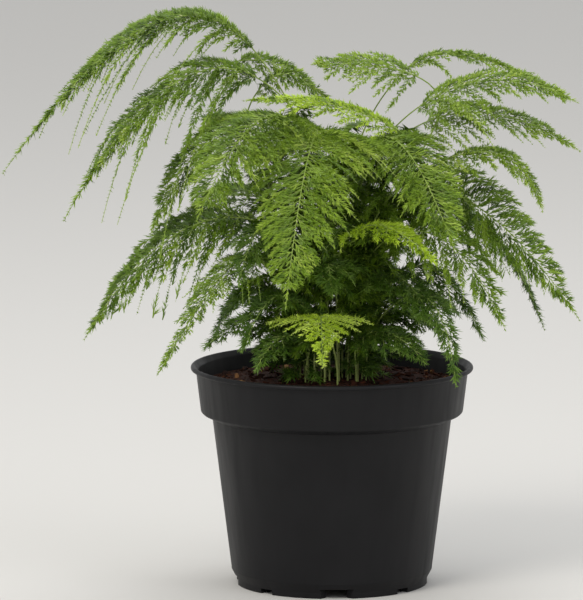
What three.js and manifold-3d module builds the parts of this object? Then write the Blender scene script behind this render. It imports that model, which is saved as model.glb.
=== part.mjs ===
// A lace fern (Asparagus setaceus) in a black plastic nursery pot: the pot, a plug of potting mix, and
// wiry fronds. Each frond is a cane that ends in one flat, drooping spray of toothed fingers.
// Millimetres, +Z up. The origin is the centre of the pot's underside, on the surface it stands on.
// The side that is seen first faces -Y, with +X to its right.
import * as THREE from "three";
import { mergeVertices } from "three/addons/utils/BufferGeometryUtils.js";
import Module from "manifold-3d";

const wasm = await Module();
wasm.setup();

// Driving dimensions

const pot = {
  height: 133,
  lipRadius: 85.3,
  lipBead: 1.5, // radius of the rolled lip
  lipArc: [-50, -10, 40, 90, 130], // degrees round the bead, from its underside to its inner edge
  collarTopRadius: 82.2,
  collarFootRadius: 79.2,
  collarFoot: 104.3,
  bodyTop: 101.7,
  bodyTopRadius: 72.3,
  bodyFoot: 10,
  bodyFootRadius: 60.8,
  chamfer: 1,
  heel: 3.7,
  heelRadius: 58,
  wall: 1.5,
  floorUnderside: 6.5,
  floorThickness: 1.6,
  ringRadius: 53.6, // inside of the ring that the pot stands on
  padRadius: 19, // the middle of the floor dips down to the surface
  padThickness: 1.8,
  dishSlope: 3.4,
  sides: 36,
};

const notches = [
  { count: 4, firstAt: 2.6, outerWidth: 27, innerWidth: 11, height: 5.8 },
  { count: 4, firstAt: 47, outerWidth: 10, innerWidth: 8, height: 3 },
];
const drainHole = { count: 4, firstAt: 25, at: 38, radius: 4, sides: 10 };
const cutMargin = 1;

const mix = {
  edge: 121.5, // height of the potting mix where it meets the wall
  crown: 125.5,
  lumpHeight: 1.1,
  lumpLength: 4.7,
  crumbLength: 2.9,
  clearance: 0.35,
  topRings: [18, 36, 54, 68],
  sides: 26,
};

const cane = {
  footHalf: 1.05,
  forkHalf: 0.75,
  buried: 12,
  standing: 2, // rises straight this far above the mix
  liftShare: 0.55, // share of the rise that keeps heading up before the cane leans out
  forkShare: 0.28,
  sectionLength: 46,
  holeClearance: 0.35,
  spots: 60,
  spotSpacing: 3.1,
  innerSpot: 4, // the tallest cane leaves the mix this far from the middle, and a low one at outerSpot
  outerSpot: 21,
  apart: 3.3, // least distance between the middle lines of two canes or ribs
};

const blade = {
  halfThick: 0.45,
  tipHalf: 0.4,
  firstAt: 0.03, // where along the rib the fingers begin and end
  lastAt: 0.86,
  rootShare: 0.34, // share of the spacing that a finger's root takes
  baseAngle: 66, // degrees between finger and rib, at the fork and at the last finger
  lastAngle: 40,
  droop: 0.36,
  tilt: 12,
  firstLength: 0.7, // the first finger's share of the span
  swell: 2.4, // how fast the next ones reach the full span
  taper: 0.8,
  reaches: [1, 0.8, 0.62, 0.45, 0.3], // a finger that would touch a neighbour is shorter
  bigSpan: 52,
};

// Half-width of a finger along its length, as a share of the spacing between fingers
const toothedFinger = [[0.28, 0.37], [0.42, 0.15], [0.62, 0.27]];
const plainFinger = [[0.34, 0.37], [0.52, 0.14]];
const slimFinger = 0.7; // how narrow the shortest finger may be, as a share of a full one
const clearOfRib = 0.8; // share of the room between its middle line and the rib that half a finger takes
const shoulder = 0.7; // past this share of its length, a finger needs ever less room

// Room to grow is counted in cells, and a finger keeps this clear of the pot, the mix and the floor
const grid = { cell: 3, step: 1.5, clear: 3 };

const [black, brown] = [0x1f1f21, 0x3b2016];
const [mature, shade, young] = [0x4d7a24, 0x2f5a23, 0x8fbe22];
const [satin, dull, leafy] = [0.5, 0.95, 0.6]; // roughness

// Each frond's cane leaves the crown of the plant and reaches fork, where the spray begins. The rib is an
// arch from fork to tip, pulled towards pull. span is the longest finger, and pairs the fingers on a side.
// tilt is how far the side of the blade that faces -Y hangs, in degrees, and droop how much both sides do.
const fronds = [
  // upper left
  { fork: [-46, 5, 322], pull: [-99, 0, 390], tip: [-197, -20, 252], span: 56, pairs: 8, tilt: 16 },
  { fork: [-42, -15, 307], pull: [-94, -34, 343], tip: [-160, -50, 227], span: 58, pairs: 8, tilt: 24 },
  { fork: [-60, 24, 314], pull: [-30, 28, 321], tip: [-1, 20, 290], span: 28, pairs: 5, tilt: 20 },
  // upper right
  { fork: [53, 9, 306], pull: [33, 4, 317], tip: [-13, -8, 316], span: 42, pairs: 6, tilt: 30 },
  { fork: [44, 25, 309], pull: [72, 32, 337], tip: [141, 20, 292], span: 32, pairs: 6, tilt: 4 },
  { fork: [50, -15, 290], pull: [95, -28, 325], tip: [147, -30, 295], span: 48, pairs: 7, tilt: 24 },
  { fork: [54, -5, 280], pull: [95, -10, 300], tip: [149, -12, 264], span: 40, pairs: 6, tilt: 24 },
  { fork: [60, -27, 258], pull: [112, -42, 284], tip: [125, -50, 232], span: 40, pairs: 6, tilt: 16 },
  // upper middle
  { fork: [-45, 15, 297], pull: [-26, 12, 323], tip: [-5, 4, 290], span: 24, pairs: 5, tilt: 20 },
  { fork: [42, -28, 277], pull: [5, -30, 302], tip: [-53, -34, 297], span: 40, pairs: 7, tone: young },
  // centre, towards the viewer
  { fork: [-14, -17, 272], pull: [-42, -60, 322], tip: [-80, -120, 236], span: 58, pairs: 8, droop: 0.28 },
  { fork: [0, -20, 264], pull: [-12, -78, 324], tip: [-28, -135, 186], span: 60, pairs: 8, droop: 0.25 },
  { fork: [16, -12, 260], pull: [38, -50, 308], tip: [72, -98, 214], span: 51, pairs: 8, droop: 0.28 },
  { fork: [-42, 0, 270], pull: [-74, -10, 298], tip: [-109, -30, 216], span: 42, pairs: 6, tilt: 30 },
  // left flank
  { fork: [-52, -15, 224], pull: [-102, -30, 233], tip: [-148, -45, 155], span: 46, pairs: 7, tilt: 36 },
  { fork: [-46, -28, 202], pull: [-60, -58, 215], tip: [-104, -90, 140], span: 28, pairs: 5 },
  { fork: [-56, 22, 214], pull: [-94, 42, 228], tip: [-127, 50, 180], span: 34, pairs: 5, tone: shade },
  { fork: [-28, -5, 158], pull: [-54, -16, 172], tip: [-77, -28, 146], span: 28, pairs: 5, tone: shade },
  { fork: [-30, -10, 214], pull: [-46, -32, 236], tip: [-56, -68, 190], span: 32, pairs: 5, tone: shade },
  // right flank
  { fork: [38, -4, 235], pull: [84, -28, 262], tip: [147, -55, 168], span: 56, pairs: 8, tilt: 38 },
  { fork: [32, -25, 212], pull: [70, -55, 240], tip: [102, -85, 166], span: 48, pairs: 7, tilt: 34 },
  { fork: [41, 20, 224], pull: [95, 36, 246], tip: [130, 45, 147], span: 44, pairs: 7, tone: shade },
  { fork: [12, -45, 220], pull: [32, -78, 238], tip: [61, -100, 207], span: 32, pairs: 5, tone: young },
  { fork: [41, -25, 176], pull: [66, -52, 196], tip: [73, -78, 132], span: 20, pairs: 5, tone: shade },
  { fork: [38, 0, 188], pull: [66, -4, 208], tip: [91, -15, 150], span: 28, pairs: 5, tone: shade },
  // low, round the crown
  { fork: [-18, -20, 172], pull: [-36, -36, 196], tip: [-54, -58, 150], span: 34, pairs: 5, tone: shade },
  { fork: [22, -10, 184], pull: [42, -34, 208], tip: [64, -60, 158], span: 34, pairs: 5, tone: shade },
  { fork: [-2, -18, 192], pull: [-4, -42, 214], tip: [0, -66, 184], span: 36, pairs: 5, tone: shade },
  { fork: [-34, 6, 176], pull: [-56, 8, 196], tip: [-72, 4, 146], span: 30, pairs: 5, tone: shade },
  { fork: [-7, -38, 167], pull: [-7, -62, 178], tip: [-6, -88, 144], span: 40, pairs: 6,
    droop: 0.1, tone: young },
  { fork: [-15, -22, 150], pull: [-32, -38, 166], tip: [-46, -58, 138], span: 26, pairs: 5, tone: shade },
  { fork: [16, -20, 152], pull: [34, -36, 168], tip: [56, -54, 141], span: 30, pairs: 5, tone: shade },
  { fork: [26, 8, 156], pull: [50, 14, 172], tip: [72, 14, 146], span: 26, pairs: 5, tone: shade },
  // back
  { fork: [-30, 30, 222], pull: [-62, 74, 256], tip: [-88, 112, 196], span: 44, pairs: 7, tilt: -14 },
  { fork: [8, 30, 232], pull: [4, 84, 272], tip: [-6, 132, 200], span: 48, pairs: 7 },
  { fork: [34, 30, 222], pull: [66, 70, 256], tip: [98, 106, 190], span: 44, pairs: 6, tilt: -14 },
  { fork: [-24, 22, 164], pull: [-48, 52, 186], tip: [-66, 80, 148], span: 30, pairs: 5, tone: shade },
  { fork: [4, 26, 170], pull: [8, 62, 194], tip: [12, 100, 152], span: 30, pairs: 6, tone: shade },
  { fork: [24, 24, 164], pull: [52, 54, 186], tip: [80, 78, 150], span: 30, pairs: 5, tone: shade },
];

const group = new THREE.Group();

const radians = THREE.MathUtils.degToRad;
const mixUp = THREE.MathUtils.lerp;

function addPiece(name, geometry, color, roughness) {
  const material = new THREE.MeshStandardMaterial({ color, roughness, metalness: 0 });
  const piece = new THREE.Mesh(geometry, material);
  piece.name = name;
  group.add(piece);
}

// Solids that are cut

function solidOf(geometry) {
  const bare = new THREE.BufferGeometry();
  bare.setAttribute("position", geometry.getAttribute("position"));
  bare.setIndex(geometry.getIndex());
  const merged = mergeVertices(bare, 1e-5);
  const vertProperties = new Float32Array(merged.getAttribute("position").array);
  const triVerts = new Uint32Array(merged.getIndex().array);
  return new wasm.Manifold(new wasm.Mesh({ numProp: 3, vertProperties, triVerts }));
}

function geometryOf(solid) {
  const mesh = solid.getMesh();
  const geometry = new THREE.BufferGeometry();
  geometry.setAttribute("position", new THREE.BufferAttribute(mesh.vertProperties, 3));
  geometry.setIndex(new THREE.BufferAttribute(mesh.triVerts, 1));
  return geometry;
}

function turned(profile, sides) {
  const points = profile.map(([r, z]) => new THREE.Vector2(r, z));
  return new THREE.LatheGeometry(points, sides).rotateX(Math.PI / 2);
}

// Pot

// The inside of the pot's wall, from the middle of the floor to the lip, as radius and height
const floorTop = pot.floorUnderside + pot.floorThickness;
const lipUnderside = pot.height - 2 * pot.lipBead;
const inside = [
  [0, pot.padThickness],
  [pot.padRadius, pot.padThickness],
  [pot.padRadius + pot.dishSlope + pot.wall, floorTop],
  [pot.bodyFootRadius - pot.wall - pot.chamfer, floorTop],
  [pot.bodyFootRadius - pot.wall, pot.bodyFoot + pot.chamfer],
  [pot.bodyTopRadius - pot.wall, pot.bodyTop],
  [pot.collarFootRadius - pot.wall, pot.collarFoot + pot.wall],
  [pot.collarTopRadius - pot.wall, lipUnderside],
];

function potProfile() {
  const bead = pot.lipArc.map(radians).map((turn) => [
    pot.lipRadius + pot.lipBead * (Math.cos(turn) - 1),
    pot.height + pot.lipBead * (Math.sin(turn) - 1),
  ]);
  return [
    [0, 0],
    [pot.padRadius, 0],
    [pot.padRadius + pot.dishSlope, pot.floorUnderside],
    [pot.ringRadius, pot.floorUnderside],
    [pot.ringRadius, 0],
    [pot.heelRadius, 0],
    [pot.heelRadius, pot.heel],
    [pot.bodyFootRadius, pot.bodyFoot - pot.chamfer],
    [pot.bodyFootRadius, pot.bodyFoot],
    [pot.bodyTopRadius, pot.bodyTop],
    [pot.collarFootRadius - pot.chamfer, pot.collarFoot],
    [pot.collarFootRadius, pot.collarFoot + pot.chamfer],
    [pot.collarTopRadius, lipUnderside],
    ...bead,
    ...inside.toReversed(),
  ];
}

// A wedge through the ring, wide outside and narrow inside, so that the notch has slanted cheeks
function notchCutter(notch) {
  const outer = pot.bodyFootRadius + cutMargin;
  const inner = pot.ringRadius - cutMargin;
  const plan = new THREE.Shape();
  plan.moveTo(-notch.outerWidth / 2, -outer);
  plan.lineTo(notch.outerWidth / 2, -outer);
  plan.lineTo(notch.innerWidth / 2, -inner);
  plan.lineTo(-notch.innerWidth / 2, -inner);
  const depth = notch.height + cutMargin;
  return new THREE.ExtrudeGeometry(plan, { depth, bevelEnabled: false }).translate(0, 0, -cutMargin);
}

function drainCutter() {
  const { radius, sides, at } = drainHole;
  const cutter = new THREE.CylinderGeometry(radius, radius, pot.floorThickness + 2 * cutMargin, sides);
  return cutter.rotateX(Math.PI / 2).translate(at, 0, pot.floorUnderside + pot.floorThickness / 2);
}

function potSolid() {
  let solid = solidOf(turned(potProfile(), pot.sides));
  const cutAround = ({ count, firstAt }, makeCutter) => {
    for (let i = 0; i < count; i++) {
      solid = solid.subtract(solidOf(makeCutter().rotateZ(radians(firstAt + (i * 360) / count))));
    }
  };
  for (const notch of notches) cutAround(notch, () => notchCutter(notch));
  cutAround(drainHole, drainCutter);
  return solid;
}

// Potting mix

function lumpAt(x, y) {
  const coarse = Math.sin(x / mix.lumpLength) * Math.sin(y / mix.lumpLength);
  const fine = Math.sin((x + y) / mix.crumbLength) * Math.sin((x - y) / mix.crumbLength);
  return (mix.lumpHeight * (2 * coarse + fine)) / 3;
}

function mixSolid() {
  const plug = inside
    .filter(([, z]) => z < mix.edge)
    .map(([r, z]) => [r > 0 ? r - mix.clearance : 0, z > floorTop ? z : z + mix.clearance]);
  const share = (mix.edge - pot.collarFoot) / (pot.height - pot.collarFoot);
  const edgeRadius = mixUp(pot.collarFootRadius, pot.collarTopRadius, share) - pot.wall - mix.clearance;
  const top = mix.topRings.map((r) => [r, mixUp(mix.crown, mix.edge, (r / edgeRadius) ** 2)]);
  const profile = [...plug, [edgeRadius, mix.edge], ...top.reverse(), [0, mix.crown]];
  const geometry = turned(profile, mix.sides);
  const place = geometry.getAttribute("position");
  for (let i = 0; i < place.count; i++) {
    const lifted = place.getZ(i) > mix.edge + 0.1 ? lumpAt(place.getX(i), place.getY(i)) : 0;
    place.setZ(i, place.getZ(i) + lifted);
  }
  return solidOf(geometry);
}

// Where the canes leave the mix: spots in a spiral. Each cane takes the free spot that suits it best,
// among those from which its way up passes clear of the canes and ribs before it

const forkHeights = fronds.map((frond) => frond.fork[2]);
const lowestFork = Math.min(...forkHeights);
const highestFork = Math.max(...forkHeights);

const spots = Array.from({ length: cane.spots }, (_, i) => {
  const turn = i * Math.PI * (3 - Math.sqrt(5));
  const away = cane.spotSpacing * Math.sqrt(i + 0.5);
  return new THREE.Vector3(away * Math.cos(turn), away * Math.sin(turn), mix.crown + cane.standing);
});

// The free spots, best first: the taller the frond, the nearer the middle its cane stands
function spotsFor(frond) {
  const tallness = THREE.MathUtils.inverseLerp(lowestFork, highestFork, frond.fork[2]);
  const wanted = new THREE.Vector3(frond.fork[0], frond.fork[1], 0);
  wanted.setLength(mixUp(cane.outerSpot, cane.innerSpot, tallness)).setZ(spots[0].z);
  return spots.toSorted((a, b) => a.distanceTo(wanted) - b.distanceTo(wanted));
}

// Fronds

function routeFrom(frond, foot) {
  const root = foot.clone().setZ(mix.crown - cane.buried);
  const [fork, pull, tip] = [frond.fork, frond.pull, frond.tip].map((p) => new THREE.Vector3(...p));
  const rise = foot.distanceTo(fork);
  const heading = pull.clone().sub(fork).normalize();
  const lift = foot.clone().add(new THREE.Vector3(0, 0, rise * cane.liftShare));
  const lean = fork.clone().addScaledVector(heading, -rise * cane.forkShare);
  const path = new THREE.CurvePath();
  path.add(new THREE.LineCurve3(root, foot));
  path.add(new THREE.CubicBezierCurve3(foot, lift, lean, fork));
  path.add(new THREE.QuadraticBezierCurve3(fork, pull, tip));
  const lengths = path.getCurveLengths();
  const flat = new THREE.Vector3(fork.y - tip.y, tip.x - fork.x, 0).normalize();
  const side = flat.clone().setZ(flat.y * Math.tan(radians(frond.tilt ?? blade.tilt))).normalize();
  const places = path.getSpacedPoints(Math.ceil(lengths[2] / grid.step));
  const [buried, forkAt, total] = lengths;
  return { droop: blade.droop, ...frond, path, places, flat, side, foot, buried, forkAt, total };
}

const grown = [];

function comesTooNear(route) {
  const near = (a, b) => a.distanceTo(b) < cane.apart;
  return grown.some((other) => route.places.some((a) => other.places.some((b) => near(a, b))));
}

function layOut(frond) {
  const routes = spotsFor(frond).map((foot) => routeFrom(frond, foot));
  const route = routes.find((candidate) => !comesTooNear(candidate)) ?? routes[0];
  spots.splice(spots.indexOf(route.foot), 1);
  grown.push(route);
}

// A place on the frond's surface: along its path, and aside from it, where the blade droops
function surfaceAt(frond, along, aside) {
  const share = THREE.MathUtils.clamp(along / frond.total, 0, 1);
  const heading = frond.path.getTangentAt(share);
  const place = frond.path.getPointAt(share).addScaledVector(heading, Math.max(0, along - frond.total));
  const side = along < frond.forkAt - 1 ? frond.flat : frond.side;
  place.addScaledVector(side, aside);
  place.z -= (frond.droop * aside * aside) / frond.span;
  const normal = new THREE.Vector3().crossVectors(heading, side).normalize();
  return { place, normal };
}

// The fingers of one side, from the fork to the tail, with where each one starts, its angle and its length
function fingersOf(frond) {
  const rib = frond.total - frond.forkAt;
  const spacing = ((blade.lastAt - blade.firstAt) * rib) / frond.pairs;
  return Array.from({ length: frond.pairs }, (_, i) => {
    const share = i / frond.pairs;
    const fullness = Math.min(1, blade.firstLength + blade.swell * share) * (1 - share) ** blade.taper;
    const start = frond.forkAt + blade.firstAt * rib + i * spacing;
    const angle = radians(mixUp(blade.baseAngle, blade.lastAngle, share));
    return { start, root: spacing * blade.rootShare, spacing, angle, length: frond.span * fullness };
  });
}

// A place on a finger, at a share of its length and a distance forward of its middle line
function fingerPlace(frond, finger, hand, out, forward) {
  const reach = finger.length * finger.reach * out;
  const [ahead, across] = [Math.cos(finger.angle), Math.sin(finger.angle)];
  const along = finger.start + finger.root / 2 + reach * ahead + forward * across;
  const aside = cane.forkHalf + reach * across - forward * ahead;
  return [along, hand * aside];
}

// Room for growth: cells of space, each held by the frond that grew there first

const held = new Map();

function cellKey(...place) {
  return place.map((v) => Math.floor(v / grid.cell)).join();
}

function hold(places, owner) {
  for (const { x, y, z } of places) held.set(cellKey(x, y, z), owner);
}

function isFree(places, owner) {
  const near = [-grid.cell, 0, grid.cell];
  return places.every(({ x, y, z }) => {
    const away = Math.hypot(x, y);
    const overMix = away < pot.collarFootRadius - pot.wall - grid.clear;
    const overLip = !overMix && away < pot.lipRadius + grid.clear;
    const ground = overLip ? pot.height : overMix ? mix.crown : 0;
    if (z < ground + grid.clear) return false;
    return near.every((dx) => near.every((dy) => near.every((dz) => {
      const holder = held.get(cellKey(x + dx, y + dy, z + dz));
      return holder === undefined || holder === owner;
    })));
  });
}

function placesOnFinger(frond, finger, hand) {
  const widest = toothedFinger[0][1];
  const places = [];
  const length = finger.length * finger.reach;
  const steps = Math.ceil(length / grid.step);
  for (let i = 0; i <= steps; i++) {
    const out = i / steps;
    const half = finger.spacing * widest * Math.min(1, (1 - out) / (1 - shoulder));
    for (let forward = -half; forward <= half; forward += grid.step) {
      places.push(surfaceAt(frond, ...fingerPlace(frond, finger, hand, out, forward)).place);
    }
  }
  return places;
}

// One closed body: a band along the path, whose side opens into a finger wherever one grows
function frondGeometry(frond, owner) {
  const positions = [];
  const triangles = [];
  const corner = (along, aside, half) => {
    const { place, normal } = surfaceAt(frond, along, aside);
    const pair = [place.clone().addScaledVector(normal, half), place.addScaledVector(normal, -half)];
    return pair.map((p) => positions.push(p.x, p.y, p.z) / 3 - 1);
  };
  // Turned over or not, a face is split from its first corner, so that both skins of a blade fold alike
  const face = ([first, ...others], flip) => {
    const ring = flip ? others.toReversed() : others;
    for (let i = 1; i < ring.length; i++) triangles.push(first, ring[i - 1], ring[i]);
  };
  const section = (along) => {
    const onRib = Math.max(0, along - frond.forkAt) / (frond.total - frond.forkAt);
    const onCane = Math.min(1, along / frond.forkAt);
    const half = mixUp(mixUp(cane.footHalf, cane.forkHalf, onCane), blade.tipHalf, onRib);
    return { along, left: corner(along, half, half), right: corner(along, -half, half) };
  };

  const growFinger = (finger, hand, rear, front) => {
    const flip = hand < 0;
    const outline = frond.span >= blade.bigSpan ? toothedFinger : plainFinger;
    let last = { rear, front };
    for (const [out, width] of outline) {
      const room = out * finger.length * finger.reach * Math.tan(finger.angle) * clearOfRib;
      const half = Math.min(width * finger.spacing * mixUp(slimFinger, 1, finger.reach), room);
      const next = {
        rear: corner(...fingerPlace(frond, finger, hand, out, -half), blade.halfThick),
        front: corner(...fingerPlace(frond, finger, hand, out, half), blade.halfThick),
      };
      face([last.rear[0], last.front[0], next.front[0], next.rear[0]], flip);
      face([last.rear[1], last.front[1], next.front[1], next.rear[1]], !flip);
      face([last.rear[0], next.rear[0], next.rear[1], last.rear[1]], flip);
      face([last.front[1], next.front[1], next.front[0], last.front[0]], flip);
      last = next;
    }
    const tip = corner(...fingerPlace(frond, finger, hand, 1, 0), blade.halfThick);
    face([last.rear[0], last.front[0], tip[0]], flip);
    face([last.rear[1], last.front[1], tip[1]], !flip);
    face([last.rear[0], tip[0], tip[1], last.rear[1]], flip);
    face([last.front[1], tip[1], tip[0], last.front[0]], flip);
  };

  const tryFinger = (finger, hand, rear, front) => {
    for (const reach of blade.reaches) {
      const shortened = { ...finger, reach };
      const places = placesOnFinger(frond, shortened, hand);
      if (isFree(places, owner)) {
        hold(places, owner);
        growFinger(shortened, hand, rear, front);
        return;
      }
    }
    face([rear[1], rear[0], front[0], front[1]], hand < 0);
  };

  const stations = [0, frond.buried];
  const risers = Math.ceil((frond.forkAt - frond.buried) / cane.sectionLength);
  for (let i = 1; i <= risers; i++) stations.push(mixUp(frond.buried, frond.forkAt, i / risers));
  const fingers = fingersOf(frond);
  for (const finger of fingers) stations.push(finger.start, finger.start + finger.root);
  stations.push(mixUp(stations.at(-1), frond.total, 0.5), frond.total);

  const sections = stations.map(section);
  const [first, end] = [sections[0], sections.at(-1)];
  face([first.right[1], first.right[0], first.left[0], first.left[1]], false);
  face([end.left[1], end.left[0], end.right[0], end.right[1]], false);
  for (let i = 1; i < sections.length; i++) {
    const [from, to] = [sections[i - 1], sections[i]];
    face([from.right[0], to.right[0], to.left[0], from.left[0]], false);
    face([from.right[1], to.right[1], to.left[1], from.left[1]], true);
    const finger = fingers.find((f) => f.start === from.along);
    for (const [hand, edge] of [[1, "left"], [-1, "right"]]) {
      if (finger) tryFinger(finger, hand, from[edge], to[edge]);
      else face([from[edge][1], from[edge][0], to[edge][0], to[edge][1]], hand < 0);
    }
  }

  const geometry = new THREE.BufferGeometry();
  geometry.setAttribute("position", new THREE.Float32BufferAttribute(positions, 3));
  geometry.setIndex(triangles);
  return geometry;
}

fronds.forEach(layOut);
grown.forEach((frond, owner) => hold(frond.places, owner));

let plug = mixSolid();
for (const { foot, flat } of grown) {
  const width = 2 * (cane.footHalf + cane.holeClearance);
  const depth = cane.buried + cane.holeClearance;
  const hole = new THREE.BoxGeometry(width, width, 2 * depth);
  hole.rotateZ(Math.atan2(flat.y, flat.x)).translate(foot.x, foot.y, mix.crown);
  plug = plug.subtract(solidOf(hole));
}

addPiece("pot", geometryOf(potSolid()), black, satin);
addPiece("potting_mix", geometryOf(plug), brown, dull);
grown.forEach((frond, i) => {
  const name = `frond_${String(i + 1).padStart(2, "0")}`;
  addPiece(name, frondGeometry(frond, i), frond.tone ?? mature, leafy);
});

export default group;
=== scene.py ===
import math
import random
from bisect import bisect_right

import bmesh
import bpy
import numpy as np
from mathutils import Matrix, Vector, geometry, noise


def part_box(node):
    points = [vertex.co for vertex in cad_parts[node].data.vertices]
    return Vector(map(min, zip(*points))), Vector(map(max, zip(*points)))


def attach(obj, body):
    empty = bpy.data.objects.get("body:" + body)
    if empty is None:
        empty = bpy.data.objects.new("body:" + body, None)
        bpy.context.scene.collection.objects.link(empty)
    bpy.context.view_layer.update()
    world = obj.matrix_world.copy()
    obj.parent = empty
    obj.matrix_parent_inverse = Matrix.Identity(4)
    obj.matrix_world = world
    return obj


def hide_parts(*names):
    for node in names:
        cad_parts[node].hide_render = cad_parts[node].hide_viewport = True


# A potted lace fern: black nursery pot, bark and peat mix, and wiry fronds of fine needles.
# Every mesh is drawn in millimetres and made metres when it is finished.
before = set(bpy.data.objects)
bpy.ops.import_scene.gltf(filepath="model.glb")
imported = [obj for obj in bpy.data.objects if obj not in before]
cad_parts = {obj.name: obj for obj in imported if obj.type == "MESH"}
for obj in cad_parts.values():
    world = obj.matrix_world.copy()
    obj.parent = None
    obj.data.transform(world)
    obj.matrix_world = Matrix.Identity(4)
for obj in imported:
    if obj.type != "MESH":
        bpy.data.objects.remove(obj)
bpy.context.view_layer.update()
mm = 0.001
up = Vector((0, 0, 1))


def hexColour(code):
    parts = [int(code[i : i + 2], 16) / 255 for i in (1, 3, 5)]
    return (*[c / 12.92 if c < 0.04045 else ((c + 0.055) / 1.055) ** 2.4 for c in parts], 1)


def blendOf(a, b, share):
    return a + (b - a) * share


# Finishing a piece


def finishPiece(bm, name, material, nodeName, sharpAngle=None):
    bmesh.ops.scale(bm, vec=(mm, mm, mm), verts=bm.verts)
    mesh = bpy.data.meshes.new(name)
    bm.to_mesh(mesh)
    bm.free()
    mesh.materials.append(material)
    piece = bpy.data.objects.new(name, mesh)
    bpy.context.scene.collection.objects.link(piece)
    if sharpAngle is not None:
        mesh.shade_smooth()
        mesh.set_sharp_from_angle(angle=math.radians(sharpAngle))
    if nodeName:
        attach(piece, "root")
        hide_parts(nodeName)
    return piece


# Node helpers


def newMaterial(name, roughness, specular):
    material = bpy.data.materials.new(name)
    material.use_nodes = True
    tree = material.node_tree
    shader = tree.nodes["Principled BSDF"]
    shader.inputs["Roughness"].default_value = roughness
    shader.inputs["Specular IOR Level"].default_value = specular
    return material, tree, shader


def addNode(tree, kind, inputs=None, **settings):
    node = tree.nodes.new("ShaderNode" + kind)
    for key, value in settings.items():
        setattr(node, key, value)
    for key, value in (inputs or {}).items():
        if isinstance(value, bpy.types.NodeSocket):
            tree.links.new(value, node.inputs[key])
        else:
            node.inputs[key].default_value = value
    return node


def addRamp(tree, factor, stops):
    node = addNode(tree, "ValToRGB", {"Fac": factor})
    elements = node.color_ramp.elements
    while len(elements) < len(stops):
        elements.new(0.5)
    for element, (place, code) in zip(elements, stops):
        element.position = place
        element.color = hexColour(code)
    return node.outputs["Color"]


def addNoise(tree, vector, scale, detail, roughness=0.55):
    inputs = {"Vector": vector, "Scale": scale, "Detail": detail, "Roughness": roughness}
    return addNode(tree, "TexNoise", inputs).outputs["Fac"]


def mixColours(tree, factor, a, b, blend="MIX"):
    return addNode(tree, "Mix", {0: factor, 6: a, 7: b}, data_type="RGBA", blend_type=blend).outputs[2]


def mapRange(tree, value, low, high, toLow=0, toHigh=1):
    inputs = {"Value": value, "From Min": low, "From Max": high, "To Min": toLow, "To Max": toHigh}
    return addNode(tree, "MapRange", inputs).outputs["Result"]


def multiplyAdd(tree, value, factor, added):
    return addNode(tree, "Math", {0: value, 1: factor, 2: added}, operation="MULTIPLY_ADD").outputs[0]


# A colour darkened or lightened by value, a socket that is 1 where it stays as it is
def lit(tree, colour, value):
    grey = addNode(tree, "CombineColor", {0: value, 1: value, 2: value}).outputs[0]
    return mixColours(tree, 1, colour, grey, "MULTIPLY")


def stretched(tree, vector, scale):
    return addNode(tree, "Mapping", {"Vector": vector, "Scale": scale}).outputs["Vector"]


def addBump(tree, shader, height, strength, distance):
    bump = addNode(tree, "Bump", {"Height": height, "Strength": strength, "Distance": distance})
    tree.links.new(bump.outputs["Normal"], shader.inputs["Normal"])


# Pot

pot = {
    "height": 133,
    "lipRadius": 85.3,
    "lipBead": 1.5,
    "lipArc": (-50, 130, 12),  # degrees round the bead, and its steps
    "collarTop": 82.2,  # a radius
    "collarFootRadius": 79.2, "collarFoot": 104.3,
    "bodyTop": 101.7, "bodyTopRadius": 72.3, "bodyFoot": 10, "bodyFootRadius": 60.8,
    "heelRadius": 58, "heel": 3.7, "ringRadius": 53.6,
    "wall": 1.5, "floorUnderside": 6.5, "floorThickness": 1.6,
    "padRadius": 19, "padThickness": 1.8, "dishSlope": 3.4,
    "chamfer": 1,
    "cutMargin": 1,  # how far a cutter reaches past what it cuts
    "sides": 144,
    "edgeRound": 0.45,
    "roundOver": 22,  # degrees; blunter edges of the profile stay as they are
    "smoothUnder": 24,
    "notches": [(4, 2.6, 27, 11, 5.8), (4, 47, 10, 8, 3)],  # count, first at, widths, height
    "drainHoles": (4, 25, 38, 4),  # count, first at, distance out, radius
    "drainCutter": {"segments": 24, "depth": 8},
}


def potInside():
    floorTop = pot["floorUnderside"] + pot["floorThickness"]
    wall = pot["wall"]
    return [
        (0, pot["padThickness"]),
        (pot["padRadius"], pot["padThickness"]),
        (pot["padRadius"] + pot["dishSlope"] + wall, floorTop),
        (pot["bodyFootRadius"] - wall - pot["chamfer"], floorTop),
        (pot["bodyFootRadius"] - wall, pot["bodyFoot"] + pot["chamfer"]),
        (pot["bodyTopRadius"] - wall, pot["bodyTop"]),
        (pot["collarFootRadius"] - wall, pot["collarFoot"] + wall),
        (pot["collarTop"] - wall, pot["height"] - 2 * pot["lipBead"]),
    ]


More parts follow.
